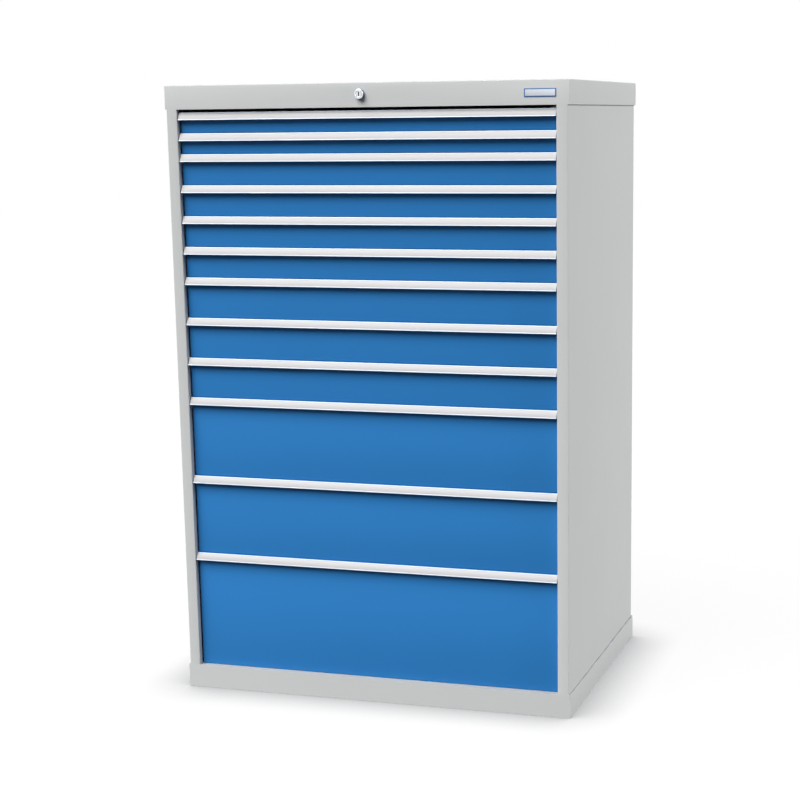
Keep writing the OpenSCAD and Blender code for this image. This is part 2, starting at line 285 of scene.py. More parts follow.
housing_grey = powder_coat("housing_grey", linear(197, 199, 199), 0.48)
tray_grey = powder_coat("tray_grey", linear(196, 198, 198), 0.52)
front_blue = powder_coat("front_blue", linear(44, 120, 186), 0.44)
# A duller grey that is painted shade on faces that look up.
painted_shade_grey = powder_coat("painted_shade_grey", linear(158, 162, 167), 0.62)

# %% [markdown]
# The handles are drawn aluminium, anodised pale. The die leaves fine lines along the strip, so the
# noise is stretched along X. The label strip in the channel is paper behind a clear film: almost
# white, with faint fibres, and a thin glossy coat.

# %% Aluminium and labels
def drawn_aluminium():
    metal = Finish(bpy.data.materials.new("handle_aluminium"))
    die_lines = metal.noise(metal.place(3, 1400, 1400), 1.0, 2.0)
    drift = metal.noise(metal.place(1, 1, 1), 14.0, 2.0)
    metal.surface(
        Base_Color=metal.blend(
            0.5 * die_lines + 0.5 * drift, linear(174, 183, 194), linear(185, 193, 203)
        ),
        Roughness=0.46 + 0.14 * die_lines,
        Normal=metal.relief(die_lines, 0.03 * MM, 0.3),
        Metallic=0.4,
    )
    return metal.owner


def label_paper():
    paper = Finish(bpy.data.materials.new("label_paper"))
    fibres = paper.noise(paper.place(260, 900, 900), 1.0, 3.0)
    drift = paper.noise(paper.place(1, 1, 1), 9.0, 2.0)
    paper.surface(
        Base_Color=paper.blend(
            0.5 * fibres + 0.5 * drift, linear(171, 170, 171), linear(177, 176, 177)
        ),
        Roughness=0.5 + 0.1 * fibres,
        Normal=paper.relief(fibres, 0.02 * MM, 0.2),
        Coat_Weight=0.15,
        Coat_Roughness=0.4,
    )
    return paper.owner


handle_aluminium = drawn_aluminium()
label_white = label_paper()
print("finish:", handle_aluminium.name, label_white.name)

# %% [markdown]
# Slides, uprights and the lock's linkage are zinc-plated steel. Zinc grows in grains, which show as
# patches of slightly different brightness, and rolling leaves a faint brushing along the length.
# The lock itself is polished nickel, with small smears that only change its roughness.

# %% Zinc and nickel
def zinc_plate():
    metal = Finish(bpy.data.materials.new("zinc_steel"))
    everywhere = metal.place(1, 1, 1)
    grains = metal.node(
        "TexVoronoi", {}, {"Vector": everywhere, "Scale": 170.0}, output="Color"
    )
    grain = metal.node("SeparateColor", {}, {"Color": grains})
    brushing = metal.noise(metal.place(900, 12, 900), 1.0, 2.0)
    metal.surface(
        Base_Color=metal.blend(
            0.7 * grain + 0.3 * brushing, linear(168, 171, 176), linear(205, 207, 210)
        ),
        Roughness=0.34 + 0.12 * grain + 0.06 * brushing,
        Normal=metal.relief(brushing, 0.03 * MM, 0.3),
        Metallic=1.0,
    )
    return metal.owner


def polished_nickel():
    metal = Finish(bpy.data.materials.new("lock_nickel"))
    everywhere = metal.place(1, 1, 1)
    smears = metal.noise(everywhere, 180.0, 3.0)
    turning = metal.noise(metal.place(1, 4000, 1), 1.0, 1.0)
    metal.surface(
        Base_Color=metal.blend(smears, linear(212, 214, 217), linear(232, 233, 236)),
        Roughness=0.16 + 0.14 * smears,
        Normal=metal.relief(turning, 0.01 * MM, 0.2),
        Metallic=1.0,
    )
    return metal.owner


# Painted shade for the inside of the keyway: a near-black colour with a faint mottle.
def keyway_shade():
    hollow = Finish(bpy.data.materials.new("keyway_painted_shade"))
    shade_mottle = hollow.noise(hollow.place(1, 1, 1), 500.0, 2.0)
    hollow.surface(
        Base_Color=hollow.blend(shade_mottle, linear(22, 22, 24), linear(48, 46, 44)),
        Roughness=0.5 + 0.2 * shade_mottle,
    )
    return hollow.owner


# The side of the collar: a dark blue-grey that is painted shade and a painted dark reflection.
def collar_shade_finish():
    metal = Finish(bpy.data.materials.new("collar_painted_shade"))
    smears = metal.noise(metal.place(1, 1, 1), 300.0, 2.0)
    metal.surface(
        Base_Color=metal.blend(smears, linear(44, 76, 112), linear(66, 98, 134)),
        Roughness=0.34 + 0.12 * smears,
    )
    return metal.owner


zinc_steel = zinc_plate()
lock_nickel = polished_nickel()
keyway_painted_shade = keyway_shade()
collar_painted_shade = collar_shade_finish()
print("finish:", zinc_steel.name, lock_nickel.name, keyway_painted_shade.name, collar_painted_shade.name)

# %% [markdown]
# ## Putting a piece in its place
# A finished piece gets its material and the body that it moves with, and the nodes of the frame
# that it stands for are hidden. On cover, plinth and trays, the faces that look up get a duller
# grey: painted shade.

# %% Dressing
LOOKS_UP = 0.6


def dress(piece, finish, slot, body, *nodes):
    smooth(piece)
    piece.data.materials.clear()
    piece.data.materials.append(finish)
    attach(piece, body)
    if nodes:
        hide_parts(*nodes)
    return piece


def paint_shade_on_tops(piece):
    """Paints shade on the faces that look up: they get a duller grey."""
    piece.data.materials.append(painted_shade_grey)
    for face in piece.data.polygons:
        if face.normal.z > LOOKS_UP:
            face.material_index = 1


def copy_of(piece, name, shift):
    """A copy with a mesh of its own, moved from the first one."""
    clear_selection()
    piece.select_set(True)
    bpy.context.view_layer.objects.active = piece
    bpy.ops.object.duplicate(linked=False)
    bpy.ops.transform.translate(value=shift)
    return settle(name)


# %% [markdown]
# ## Cover and plinth
# Both are pans of 1.5 mm sheet, folded down on four sides. A block loses its lower face, its edges
# are rounded as a press brake bends them, and Solidify gives the sheet its thickness inwards, so
# the outside keeps the size of the CAD model. In front, both are flush with the columns, and the
# plinth's upper edge there stays sharp, so that the joint doesn't show. The cover has a lip under
# its front skirt, extruded from the skirt's lower edge, and a hole for the lock. The plinth keeps a
# rim to stand on: its lower face is inset and only the middle is deleted.

# %% The pans
SHEET, BEND, EDGE = 1.5 * MM, 1.6 * MM, 0.3 * MM
COVER_LIP, LIP_PLAY, PLINTH_RIM = 14 * MM, 1 * MM, 30 * MM


def round_pan(pan, low, high, front_too):
    """Rounds the four corners and the upper edges, the front one only if asked."""
    def bent(middle, way):
        if near(middle.z, high.z):
            return front_too or not near(middle.y, low.y)
        return abs(way.z) > ALONG

    round_off(pan, BEND, 4, bent)


low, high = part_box("top_cover")
cover = add_block("cover_pan", low, high)
pick(cover, "FACE", lambda middle, normal: normal.z < -ALONG)
bpy.ops.mesh.delete(type="FACE")
round_pan(cover, low, high, True)
lip_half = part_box("right_side")[0].x - LIP_PLAY
for way in (-1, 1):
    pick(cover, "FACE", lambda middle, normal: normal.y < -FLAT)
    bpy.ops.mesh.bisect(plane_co=(way * lip_half, 0, 0), plane_no=(1, 0, 0))
pick(
    cover, "EDGE",
    lambda middle, way: near(middle.y, low.y) and near(middle.z, low.z) and near(middle.x, 0),
)
bpy.ops.mesh.extrude_region_move(TRANSFORM_OT_translate={"value": (0, COVER_LIP, 0)})
finish_with(cover, "SOLIDIFY", thickness=SHEET, offset=-1, use_even_offset=True)
print("cover:", len(cover.data.polygons), "faces")

low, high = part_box("base_plinth")
plinth = add_block("plinth_pan", low, high)
pick(plinth, "FACE", lambda middle, normal: normal.z < -ALONG)
bpy.ops.mesh.inset(thickness=PLINTH_RIM, use_even_offset=True)
bpy.ops.mesh.delete(type="FACE")
round_pan(plinth, low, high, False)
finish_with(plinth, "SOLIDIFY", thickness=SHEET, offset=-1, use_even_offset=True)
print("plinth:", len(plinth.data.polygons), "faces")

# %% The hole for the lock
LOCK_X, LOCK_Z = 0.0, (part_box("lock_plug")[0].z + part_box("lock_plug")[1].z) / 2
LOCK_HOLE_R, ROUND_STEPS = 9.8 * MM, 48


def drill(piece, radius, front, rear):
    """A round hole along Y on the axis of the lock."""
    clear_selection()
    bpy.ops.mesh.primitive_cylinder_add(
        vertices=ROUND_STEPS, radius=radius, depth=rear - front,
        location=(LOCK_X, (front + rear) / 2, LOCK_Z), rotation=(math.pi / 2, 0, 0),
    )
    bit = settle("drill_bit")
    finish_with(piece, "BOOLEAN", operation="DIFFERENCE", object=bit, solver="EXACT")
    bpy.data.objects.remove(bit)


cover_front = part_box("top_cover")[0].y
drill(cover, LOCK_HOLE_R, cover_front - 2 * SHEET, cover_front + 3 * SHEET)
dress(cover, housing_grey, "housing_grey", "housing", "top_cover")
dress(plinth, housing_grey, "housing_grey", "housing", "base_plinth")
# Painted shade: the faces of cover and plinth that look up get the duller grey.
paint_shade_on_tops(cover)
paint_shade_on_tops(plinth)
print("drilled cover:", len(cover.data.polygons), "faces")

# %% [markdown]
# ## Side panels
# Each side is drawn as one line: the fold behind the column, the column's inner side, its face, the
# wall and the rear flange, whose weld doesn't show. The line comes from pulling one point from
# corner to corner. Extruded upwards it becomes the folded sheet, and its upright edges are rounded.
# The column ends under the cover's skirt, and only the wall and its flange are extruded on, up to
# the cover's plate. Solidify thickens the sheet inwards.

# %% A line drawn by one point
def draw_line(name, corners):
    """Pulls one point from corner to corner, and stays in edit mode with the last one selected."""
    clear_selection()
    bpy.ops.mesh.primitive_plane_add(size=MM, location=corners[0])
    piece = settle(name)
    bpy.ops.object.mode_set(mode="EDIT")
    bpy.ops.mesh.select_mode(type="VERT")
    bpy.ops.mesh.select_all(action="SELECT")
    bpy.ops.mesh.merge(type="CENTER")
    for before, after in zip(corners, corners[1:]):
        step = Vector(after) - Vector(before)
        bpy.ops.mesh.extrude_vertices_move(TRANSFORM_OT_translate={"value": step})
    return piece


def pull(travel):
    """Extrudes all that was drawn along a straight way."""
    bpy.ops.mesh.select_all(action="SELECT")
    bpy.ops.mesh.extrude_region_move(TRANSFORM_OT_translate={"value": travel})
    bpy.ops.object.mode_set(mode="OBJECT")


def face_out(piece, wanted, way):
    """Turns an open sheet over if the wanted face doesn't look that way."""
    sheet = next(face for face in piece.data.polygons if wanted(face.center))
    if sheet.normal.dot(Vector(way)) < 0:
        bpy.ops.object.mode_set(mode="EDIT")
        bpy.ops.mesh.select_all(action="SELECT")
        bpy.ops.mesh.flip_normals()
        bpy.ops.object.mode_set(mode="OBJECT")


COLUMN_D, COLUMN_FOLD, REAR_FLANGE, SIDE_BEND = 16 * MM, 17 * MM, 20 * MM, 2 * MM


def side_panel(name, node, side):
    low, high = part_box(node)
    inner, outer = sorted((abs(low.x), abs(high.x)))
    line = [
        (inner + COLUMN_FOLD, low.y + COLUMN_D),
        (inner, low.y + COLUMN_D),
        (inner, low.y),
        (outer, low.y),
        (outer, high.y),
        (outer - REAR_FLANGE, high.y),
    ]
    column_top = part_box("top_cover")[0].z
    panel = draw_line(name, [(side * x, y, low.z) for x, y in line])
    pull((0, 0, column_top - low.z))
    face_out(panel, lambda middle: near(abs(middle.x), outer), (side, 0, 0))
    round_off(
        panel, SIDE_BEND, 4,
        lambda middle, way: abs(way.z) > ALONG and any(
            near(abs(middle.x), x) and near(middle.y, y) for x, y in line[1:-1]
        ),
    )
    pick(
        panel, "EDGE",
        lambda middle, way: near(middle.z, column_top) and (
            near(abs(middle.x), outer) or middle.y > high.y - 1.05 * SIDE_BEND
        ),
    )
    bpy.ops.mesh.extrude_region_move(TRANSFORM_OT_translate={"value": (0, 0, high.z - column_top)})
    finish_with(panel, "SOLIDIFY", thickness=SHEET, offset=-1, use_even_offset=True)
    return dress(panel, housing_grey, "housing_grey", "housing", node)


for name, node, side in (("left_panel", "left_side", -1), ("right_panel", "right_side", 1)):
    panel = side_panel(name, node, side)
    print(name, len(panel.data.polygons), "faces")

# %% [markdown]
# ## Back panel
# A plain sheet lies against the inside of the two rear flanges and is held by a row of blind rivets
# on each. The rivets are one low dome, copied up the flange and joined into one piece. From
# behind, they are what tells the back from a painted board.

# %% The back and its rivets
low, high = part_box("back_panel")
back = add_block("rear_sheet", low, high)
round_off(back, EDGE, 2, lambda middle, way: True)
dress(back, housing_grey, "housing_grey", "housing", "back_panel")

RIVET_R, RIVET_H, RIVETS = 3.2 * MM, 1.4 * MM, 8
RIVET_IN, RIVET_MARGIN = 11 * MM, 60 * MM
DOME, DIMPLE_RIM, DIMPLE_D = 0.9 * MM, 1.2 * MM, 0.5 * MM
flange_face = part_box("right_side")[1].y


def rivet(name, place):
    clear_selection()
    bpy.ops.mesh.primitive_cylinder_add(
        vertices=20, radius=RIVET_R, depth=RIVET_H,
        location=(place[0], flange_face + RIVET_H / 2, place[1]), rotation=(math.pi / 2, 0, 0),
    )
    head = settle(name)
    rear = flange_face + RIVET_H
    round_off(
        head, DOME, 4,
        lambda middle, way: near(middle.y, rear) and abs(way.y) < ACROSS,
    )
    pick(head, "FACE", lambda middle, normal: normal.y > ALONG)
    bpy.ops.mesh.inset(thickness=DIMPLE_RIM)
    bpy.ops.transform.translate(value=(0, -DIMPLE_D, 0))
    bpy.ops.object.mode_set(mode="OBJECT")
    return head


rivet_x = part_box("right_side")[1].x - RIVET_IN
span = high.z - low.z - 2 * RIVET_MARGIN
heights = [low.z + RIVET_MARGIN + span * number / (RIVETS - 1) for number in range(RIVETS)]
first = rivet("rear_rivets", (rivet_x, heights[0]))
heads = [first]
for height in heights:
    for x in (rivet_x, -rivet_x):
        if (x, height) != (rivet_x, heights[0]):
            shift = (x - rivet_x, 0, height - heights[0])
            heads.append(copy_of(first, "rivet_copy", shift))
join_all(heads)
dress(first, zinc_steel, "zinc_steel", "housing")
print("rivets:", len(heads), "heads,", len(first.data.polygons), "faces")

# %% [markdown]
# ## Straps under the cover
# Two bent straps hang from the cover and keep the lock's link bar level. They show only when the
# top drawer is out. A strap is a U drawn as a line, pulled to its width and thickened.

# %% The link straps
link_low, link_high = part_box("link_bar")
under_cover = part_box("top_cover")[1].z - SHEET
STRAP_W, STRAP_T, STRAP_BEND = 12 * MM, 2 * MM, 0.8 * MM
STRAP_PLACE, PLAY = 48 * MM, 0.4 * MM
straps = []
for x in (STRAP_PLACE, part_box("right_side")[0].x - STRAP_PLACE):
    front, rear = link_low.y - PLAY - STRAP_T, link_high.y + PLAY + STRAP_T
    bottom = link_low.z - PLAY - STRAP_T
    corners = [(front, under_cover), (front, bottom), (rear, bottom), (rear, under_cover)]
    strap = draw_line("link_straps", [(x - STRAP_W / 2, y, z) for y, z in corners])
    pull((STRAP_W, 0, 0))
    face_out(strap, lambda middle: near(middle.z, bottom), (0, 0, -1))
    round_off(
        strap, STRAP_BEND, 3, lambda middle, way: abs(way.x) > ALONG and near(middle.z, bottom)
    )
    finish_with(strap, "SOLIDIFY", thickness=STRAP_T, offset=-1, use_even_offset=True)
    straps.append(strap)
join_all(straps)
dress(straps[0], zinc_steel, "zinc_steel", "housing", "top_cover")
print("straps:", len(straps[0].data.polygons), "faces")

# %% [markdown]
# ## Drawer fronts
# A front is a blue sheet folded back on four sides, with a rim turned inwards that is fastened to
# the tray. A block's rear face is inset and its middle deleted, the front edges are rounded, and
# the sheet is thickened inwards. Drawers of the same height have the same front, so each height is
# modelled once and copied to the others.

# %% The blue fronts
FRONT_RIM, FRONT_BEND = 12 * MM, 0.8 * MM


def front_sheet(name, low, high):
    sheet = add_block(name, low, high)
    pick(sheet, "FACE", lambda middle, normal: normal.y > ALONG)
    bpy.ops.mesh.inset(thickness=FRONT_RIM, use_even_offset=True)
    bpy.ops.mesh.delete(type="FACE")
    round_off(sheet, FRONT_BEND, 3, lambda middle, way: near(middle.y, low.y))
    round_off(
        sheet, FRONT_BEND, 3,
        lambda middle, way: abs(way.y) > ALONG and near(abs(middle.x), high.x),
    )
    finish_with(sheet, "SOLIDIFY", thickness=SHEET, offset=-1, use_even_offset=True)
    return sheet


def repeat_by_height(make, kind, node_kind):
    """Models one piece for each height, and copies it to the other drawers of that height."""
    modelled, made = {}, []
    for drawer in DRAWERS:
        low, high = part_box(f"{drawer}_{node_kind}")
        height = round((high.z - low.z) / MM, 1)
        name = f"{drawer}_{kind}"
        if height in modelled:
            first, first_z = modelled[height]
            made.append(copy_of(first, name, (0, 0, low.z - first_z)))
        else:
            made.append(make(name, low, high))
            modelled[height] = (made[-1], low.z)
    print(kind, "- heights in mm:", sorted(modelled))
    return made


fronts = repeat_by_height(front_sheet, "sheet", "front")
for drawer, sheet in zip(DRAWERS, fronts):
    dress(sheet, front_blue, "front_blue", drawer, f"{drawer}_front")

# %% [markdown]
# ## Handles and labels
# The handle is an aluminium section that a press pushes through a die, so it is made the same way:
# the section is drawn point by point, filled, and pulled over the width of the drawer. It has a
# flange that is fastened to the front, a sloping face with a channel for the label, whose upper
# edge stands a little above the wall behind it, and a lip for the fingers below. All twelve are the
# same and are copies of the first one.

# %% The handle's section
handle_low, handle_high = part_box("drawer_01_handle")
RECESS, TOP_D, LOW_D, WALL = 15 * MM, 8.5 * MM, 0.5 * MM, 2.2 * MM
HANDLE_H, LIP_D, RISE, FLANGE_H = handle_high.z - handle_low.z, 4.5 * MM, 2 * MM, 8 * MM
LABEL_LIP, CHANNEL_D = 2.2 * MM, 0.9 * MM
column_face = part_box("right_side")[0].y
slope = Vector((TOP_D - LOW_D, HANDLE_H))
up_slope = slope.normalized()
into_slope = Vector((up_slope.y, -up_slope.x))
foot = Vector((LOW_D, -HANDLE_H))


def on_face(up, behind):
    """A point of the section, so far up the sloping face and so far behind it."""
    return foot + up * up_slope + behind * into_slope


def wall_back(z):
    """Depth of the rear of the sloping wall at a height."""
    return TOP_D + z * slope.x / HANDLE_H + WALL * slope.length / HANDLE_H


HANDLE_SECTION = [
    (RECESS, -RISE),
    (wall_back(-RISE), -RISE),
    (wall_back(0), 0),
    (TOP_D, 0),
    on_face(slope.length - LABEL_LIP, 0),
    on_face(slope.length - LABEL_LIP, CHANNEL_D),
    on_face(LABEL_LIP, CHANNEL_D),
    on_face(LABEL_LIP, 0),
    foot,
    foot + Vector((LIP_D, 0)),
    foot + Vector((LIP_D, WALL)),
    (wall_back(WALL - HANDLE_H), WALL - HANDLE_H),
    (wall_back(-RISE - WALL), -RISE - WALL),
    (RECESS - WALL, -RISE - WALL),
    (RECESS - WALL, -FLANGE_H),
    (RECESS, -FLANGE_H),
]


def press_section(name, section, radius):
    """Draws a section in the YZ plane, fills it and pulls it over the width of a drawer."""
    corners = [(handle_low.x, column_face + d, handle_high.z + z) for d, z in section]
    piece = draw_line(name, corners)
    bpy.ops.mesh.select_all(action="SELECT")
    bpy.ops.mesh.edge_face_add()
    pull((handle_high.x - handle_low.x, 0, 0))
    round_off(piece, radius, 2, lambda middle, way: abs(way.x) > ALONG)
    bpy.ops.object.mode_set(mode="EDIT")
    bpy.ops.mesh.select_all(action="SELECT")
    bpy.ops.mesh.normals_make_consistent(inside=False)
    bpy.ops.object.mode_set(mode="OBJECT")
    return piece


first_handle = press_section("drawer_01_grip", HANDLE_SECTION, EDGE)
print("handle:", len(first_handle.data.polygons), "faces")

# %% The label strip
LABEL_GAP, LABEL_T, LABEL_EDGE = 0.1 * MM, 0.6 * MM, 0.12 * MM
label_back, label_front = CHANNEL_D - LABEL_GAP, CHANNEL_D - LABEL_GAP - LABEL_T
label_ends = (LABEL_LIP + LABEL_GAP, slope.length - LABEL_LIP - LABEL_GAP)
LABEL_SECTION = [
    on_face(label_ends[0], label_back),
    on_face(label_ends[0], label_front),
    on_face(label_ends[1], label_front),
    on_face(label_ends[1], label_back),
]
first_label = press_section("drawer_01_label", LABEL_SECTION, LABEL_EDGE)
grips, labels = [first_handle], [first_label]
for drawer in DRAWERS[1:]:
    rise = (0, 0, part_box(f"{drawer}_handle")[1].z - handle_high.z)
    grips.append(copy_of(first_handle, f"{drawer}_grip", rise))
    labels.append(copy_of(first_label, f"{drawer}_label", rise))
for drawer, grip, label in zip(DRAWERS, grips, labels):
    dress(grip, handle_aluminium, "handle_aluminium", drawer, f"{drawer}_handle")
    dress(label, label_white, "handle_aluminium", drawer, f"{drawer}_handle")
print("handles:", len(grips), "labels:", len(labels))

# %% [markdown]
# ## Trays
# Behind its front, a drawer is an open tray. Its walls are slotted every 25 mm for dividers: the
# long edges of a wall are subdivided, each field is inset until only a slit is left, and the slits
# are deleted before the sheet is thickened.

# %% The trays
TRAY_T, SLOT_PITCH, SLOT_W = 1.2 * MM, 25 * MM, 2 * MM
TRAY_HALF, TRAY_FRONT, RIM_DROP = 451.2 * MM, 27 * MM, 3 * MM
tray_rims = {drawer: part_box(f"{drawer}_handle")[1].z - RIM_DROP for drawer in DRAWERS}


def slot_wall(tray, axis, place, low, high):
    """Cuts divider slots into the wall that lies at a place along X or Y."""
    along = 1 - axis
    fields = round((high[along] - low[along]) / SLOT_PITCH)
    pick(
        tray, "EDGE",
        lambda middle, way: near(middle[axis], place) and abs(way[along]) > ALONG,
    )
    bpy.ops.mesh.subdivide(number_cuts=fields - 1)
    pick(
        tray, "FACE",
        lambda middle, normal: near(middle[axis], place) and abs(normal[axis]) > ALONG,
    )
    bpy.ops.mesh.inset(thickness=(SLOT_PITCH - SLOT_W) / 2, use_individual=True)
    bpy.ops.mesh.delete(type="FACE")
    bpy.ops.object.mode_set(mode="OBJECT")


def open_tray(name, low, high):
    """The tray without its rails and catch, which are in the box of its node too."""
    low = Vector((-TRAY_HALF, column_face + TRAY_FRONT, low.z))
    high = Vector((TRAY_HALF, high.y, tray_rims[name.removesuffix("_bin")]))
    tray = add_block(name, low, high)
    pick(tray, "FACE", lambda middle, normal: normal.z > ALONG)
    bpy.ops.mesh.delete(type="FACE")
    for axis, place in ((0, low.x), (0, high.x), (1, high.y)):
        slot_wall(tray, axis, place, low, high)
    finish_with(tray, "SOLIDIFY", thickness=TRAY_T, offset=-1, use_even_offset=True)
    return tray


trays = repeat_by_height(open_tray, "bin", "tray")
# Painted shade on the trays: their faces that look up get the duller grey.
for drawer, tray in zip(DRAWERS, trays):
    dress(tray, tray_grey, "tray_grey", drawer, f"{drawer}_tray")
    paint_shade_on_tops(tray)
print("tray:", len(trays[0].data.polygons), "faces")

# %% [markdown]
# ## Drawer rails
# The inner members of the telescopic slides are welded to the tray: a channel on each side, open
# outwards. The right one carries the catch that the locking bar stops. One pair is modelled and
# copied to every drawer.

# %% The rails and the catch
runner_low, runner_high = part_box("drawer_01_runners")
RAIL_T, RAIL_STEP, RAIL_W, RAIL_BEND = 1.5 * MM, 1.9 * MM, 20.9 * MM, 1 * MM
RAIL_LEAD, RAIL_REAR = 3.4 * MM, 629.4 * MM
CATCH_W, CATCH_T, CATCH_RISE, CATCH_CORNER = 14 * MM, 3 * MM, 8 * MM, 2 * MM
web_x, tip_x = TRAY_HALF, TRAY_HALF + RAIL_W
rail_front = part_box("cabinet_rails")[0].y - RAIL_LEAD
rail_rear = column_face + RAIL_REAR
rail_bottom, rail_top = runner_low.z + RAIL_STEP, runner_high.z - RAIL_STEP
parts = []
for side in (-1, 1):
    corners = [(tip_x, rail_top), (web_x, rail_top), (web_x, rail_bottom), (tip_x, rail_bottom)]
    rail = draw_line("rail_half", [(side * x, rail_front, z) for x, z in corners])
    pull((0, rail_rear - rail_front, 0))
    face_out(rail, lambda middle: near(abs(middle.x), web_x), (-side, 0, 0))
    round_off(
        rail, RAIL_BEND, 3, lambda middle, way: abs(way.y) > ALONG and near(abs(middle.x), web_x)
    )
    finish_with(rail, "SOLIDIFY", thickness=RAIL_T, offset=-1, use_even_offset=True)
    parts.append(rail)
catch_top = runner_high.z + RAIL_STEP + CATCH_RISE
catch = add_block(
    "catch", (web_x + RAIL_T, rail_front, rail_top - RAIL_T),
    (web_x + RAIL_T + CATCH_W, rail_front + CATCH_T, catch_top),
)
round_off(
    catch, CATCH_CORNER, 3, lambda middle, way: abs(way.y) > ALONG and near(middle.z, catch_top)
)
round_off(catch, EDGE, 2, lambda middle, way: near(middle.y, rail_front))
parts.append(catch)
join_all(parts)
first_rails = settle("drawer_01_rails")
rails = [first_rails]
for drawer in DRAWERS[1:]:
    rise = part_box(f"{drawer}_runners")[0].z - runner_low.z
    rails.append(copy_of(first_rails, f"{drawer}_rails", (0, 0, rise)))
for drawer, rail in zip(DRAWERS, rails):
    dress(rail, zinc_steel, "tray_grey", drawer, f"{drawer}_tray")
print("rails:", len(rails), "pairs,", len(first_rails.data.polygons), "faces each")

# %% [markdown]
# ## The lock
# A lock barrel is turned on a lathe, and Spin is Blender's lathe: half of the section is drawn, and
# spun once round the axis. The side of its collar is dark blue-grey, painted shade and a painted
# dark reflection, which shows as a crescent. The plug inside turns with the key. Its keyway is cut
# with a Boolean, and the faces inside it are dark with painted shade. A six-sided nut holds the
# barrel behind the sheet. Barrel and plug are measured in millimetres here, by radius and by depth
# behind the columns.

# %% The lathe
def turn_section(name, section):
    """Draws half a section, as radius and depth behind the columns, and spins it round the lock."""
    corners = [(radius * MM, column_face + d * MM, LOCK_Z) for radius, d in section]
    piece = draw_line(name, corners)
    bpy.ops.mesh.select_all(action="SELECT")
    bpy.ops.mesh.spin(
        steps=ROUND_STEPS, angle=2 * math.pi, center=(LOCK_X, 0, LOCK_Z), axis=(0, 1, 0)
    )
    bpy.ops.mesh.select_all(action="SELECT")
    bpy.ops.mesh.remove_doubles(threshold=0.001 * MM)
    bpy.ops.mesh.normals_make_consistent(inside=False)
    bpy.ops.object.mode_set(mode="OBJECT")
    return piece


COLLAR = (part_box("lock_barrel")[0].y - column_face) / MM
BORE_R, THREAD_R, COLLAR_R, BARREL_END = 7.5, 9.5, 11.5, 20
BARREL_SECTION = [
    (BORE_R, BARREL_END), (BORE_R, COLLAR + 0.5), (BORE_R + 0.4, COLLAR),
    (COLLAR_R - 0.9, COLLAR), (COLLAR_R - 0.3, COLLAR + 0.3), (COLLAR_R, COLLAR + 0.9),
    (COLLAR_R, 0), (THREAD_R, 0), (THREAD_R, BARREL_END - 0.5), (THREAD_R - 0.4, BARREL_END),
    (BORE_R, BARREL_END),
]
barrel = turn_section("lock_collar", BARREL_SECTION)
dress(barrel, lock_nickel, "lock_chrome", "housing", "lock_barrel")
# Faces on the side of the collar get the painted shade and dark reflection.
barrel.data.materials.append(collar_painted_shade)
for face in barrel.data.polygons:
    radius = Vector((face.center.x - LOCK_X, face.center.z - LOCK_Z)).length / MM
    if radius > COLLAR_R - 0.3 and abs(face.normal.y) < ACROSS:
        face.material_index = 1
print("barrel:", len(barrel.data.polygons), "faces")

# %% The nut
NUT_R, NUT_BORE_R, NUT_EDGE = 13.5 * MM, 9.7 * MM, 0.5 * MM
nut_low, nut_high = 1.5 * MM, 5.5 * MM
clear_selection()
bpy.ops.mesh.primitive_cylinder_add(
    vertices=6, radius=NUT_R, depth=nut_high - nut_low,
    location=(LOCK_X, column_face + (nut_low + nut_high) / 2, LOCK_Z), rotation=(math.pi / 2, 0, 0),
)
nut = settle("lock_nut")
round_off(nut, NUT_EDGE, 2, lambda middle, way: abs(way.y) < ACROSS)
drill(nut, NUT_BORE_R, column_face - 2 * nut_high, column_face + 2 * nut_high)
dress(nut, zinc_steel, "lock_chrome", "housing", "lock_barrel")
print("nut:", len(nut.data.polygons), "faces")

# %% The plug
PLUG_FACE, PLUG_R = COLLAR + 0.4, 7.2
KEYWAY_X, KEYWAY_Z, KEYWAY_D = 1.3, 4.8, 8
TAIL_HALF, TAIL_END, TAIL_EDGE = 3, 23.5, 0.4
PLUG_SECTION = [
    (0, PLUG_FACE), (PLUG_R - 0.6, PLUG_FACE), (PLUG_R - 0.1, PLUG_FACE + 0.5),
    (PLUG_R, PLUG_FACE + 0.8), (PLUG_R, BARREL_END), (0, BARREL_END),
]
plug = turn_section("lock_key_plug", PLUG_SECTION)
keyway = add_block(
    "keyway_cutter",
    (-KEYWAY_X * MM, column_face + (COLLAR - 1) * MM, LOCK_Z - KEYWAY_Z * MM),
    (KEYWAY_X * MM, column_face + (COLLAR + KEYWAY_D) * MM, LOCK_Z + KEYWAY_Z * MM),
)
finish_with(plug, "BOOLEAN", operation="DIFFERENCE", object=keyway, solver="EXACT")
bpy.data.objects.remove(keyway)
tail = add_block(
    "plug_tail",
    (-TAIL_HALF * MM, column_face + (BARREL_END - 0.1) * MM, LOCK_Z - TAIL_HALF * MM),
    (TAIL_HALF * MM, column_face + TAIL_END * MM, LOCK_Z + TAIL_HALF * MM),
)
round_off(tail, TAIL_EDGE * MM, 2, lambda middle, way: abs(way.y) > ALONG)
finish_with(plug, "BOOLEAN", operation="UNION", object=tail, solver="EXACT")
bpy.data.objects.remove(tail)
dress(plug, lock_nickel, "lock_chrome", "lock_core", "lock_plug")
plug.data.materials.append(keyway_painted_shade)
# Faces inside the keyway get the painted shade.
dark = 0
for face in plug.data.polygons:
    x, z = abs(face.center.x) / MM, abs(face.center.z - LOCK_Z) / MM
    depth = (face.center.y - column_face) / MM
    inside = x < KEYWAY_X + 0.05 and z < KEYWAY_Z + 0.1
    if inside and PLUG_FACE + 0.05 < depth < COLLAR + KEYWAY_D + 1:
        face.material_index = 1
        dark += 1
print("plug:", len(plug.data.polygons), "faces,", dark, "in the keyway")

# %% [markdown]
# ## The name plate
# At the right of the cover's skirt sits a small bare plate with a printed blue border. The border
# is paint, so it is a pattern in the material: a point belongs to the bare middle where it is near
# enough to the plate's centre along both X and Z.

